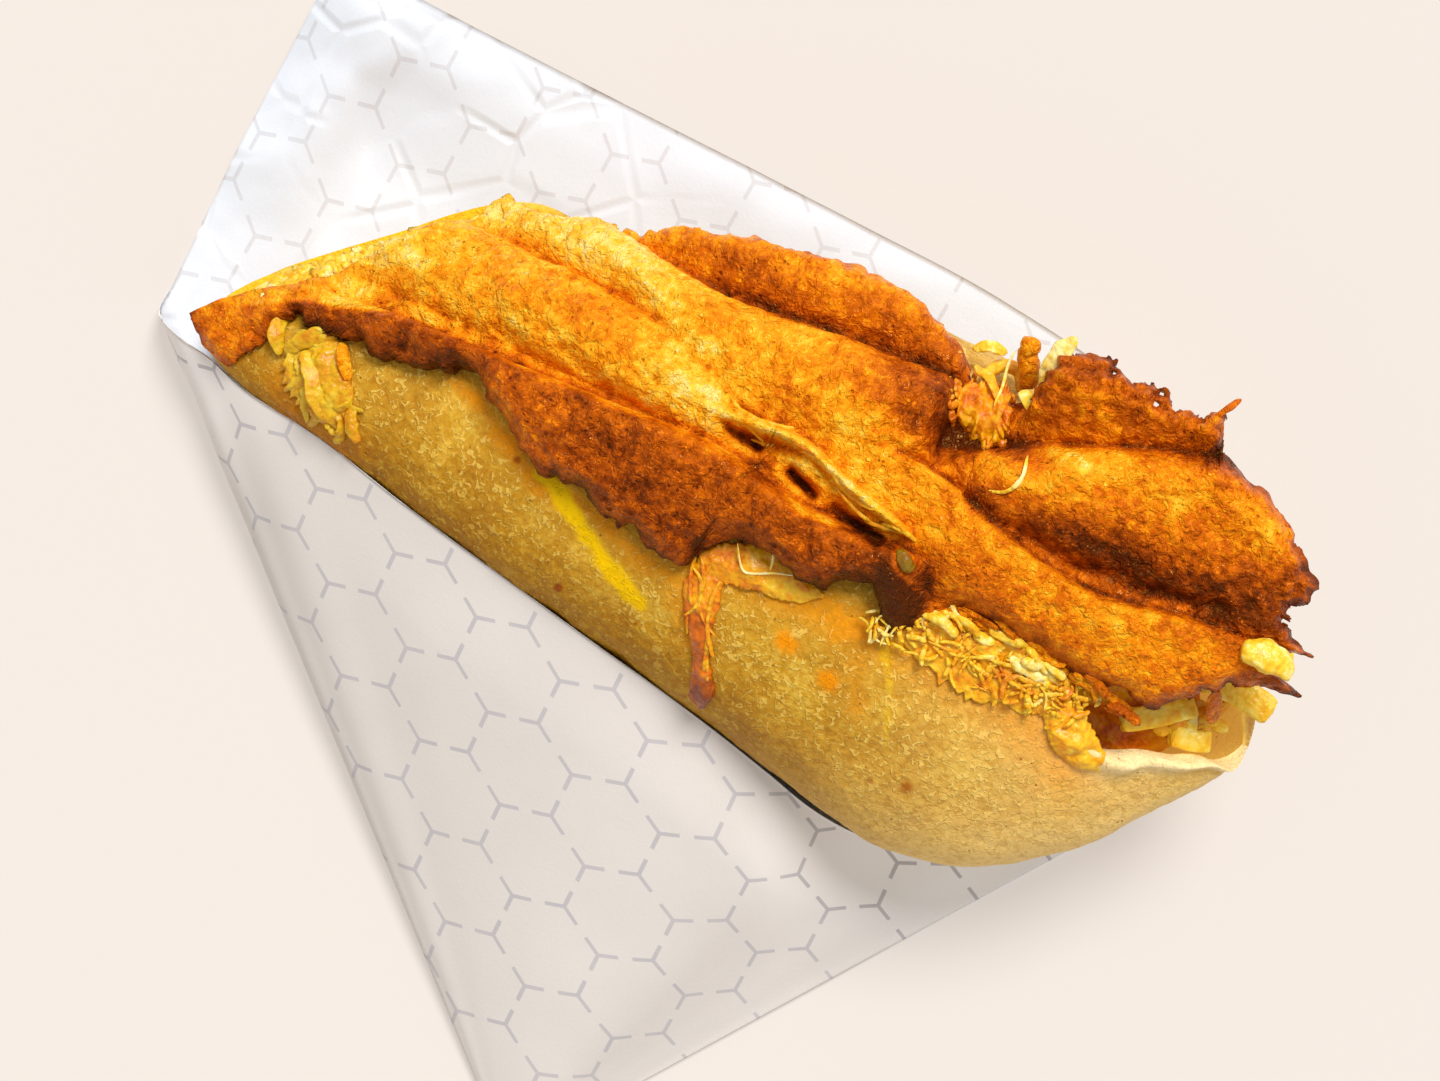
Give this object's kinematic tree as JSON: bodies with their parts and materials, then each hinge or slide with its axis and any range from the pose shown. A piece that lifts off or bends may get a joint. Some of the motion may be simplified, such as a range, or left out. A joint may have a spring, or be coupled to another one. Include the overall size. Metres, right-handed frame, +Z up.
{
  "type": "cheese crepe",
  "caption": "Folded crepe roll with a pleated browned cheese crust on top and a cheese filling at its open end, lying in a pointed cone of greaseproof paper.",
  "frame": {"origin": "on the flat underside of the paper's back panel, under the middle of the roll", "axes": "+X along the roll from its folded end to its open end, +Y from the paper's tip side towards its free flap, +Z up"},
  "size_m": [0.2163, 0.1855, 0.0646],
  "materials": {
    "paper": "white greaseproof paper, smooth and slightly crinkled, with a pale grey honeycomb print",
    "crepe": "pale yellow baked flatbread, fine semolina grain, small brown spots",
    "filling": "soft yellow grated cheese filling, moist",
    "crust": "fried cheese crust, orange to dark brown, oily, finely blistered",
    "melted_cheese": "melted yellow cheese, glossy",
    "onion": "translucent fried onion"
  },
  "bodies": {
    "root": {"paper_cone": "paper", "crepe": "crepe", "filling": "filling", "cheese_crust": "crust", "cheese_drip": "crust", "melted_clump": "melted_cheese", "melted_fringe": "melted_cheese", "melted_rim_lump": "melted_cheese", "cheese_strip_1": "melted_cheese", "cheese_strip_2": "melted_cheese", "cheese_strip_3": "melted_cheese", "cheese_strip_4": "melted_cheese", "onion_curl": "onion"}
  },
  "joints": []
}
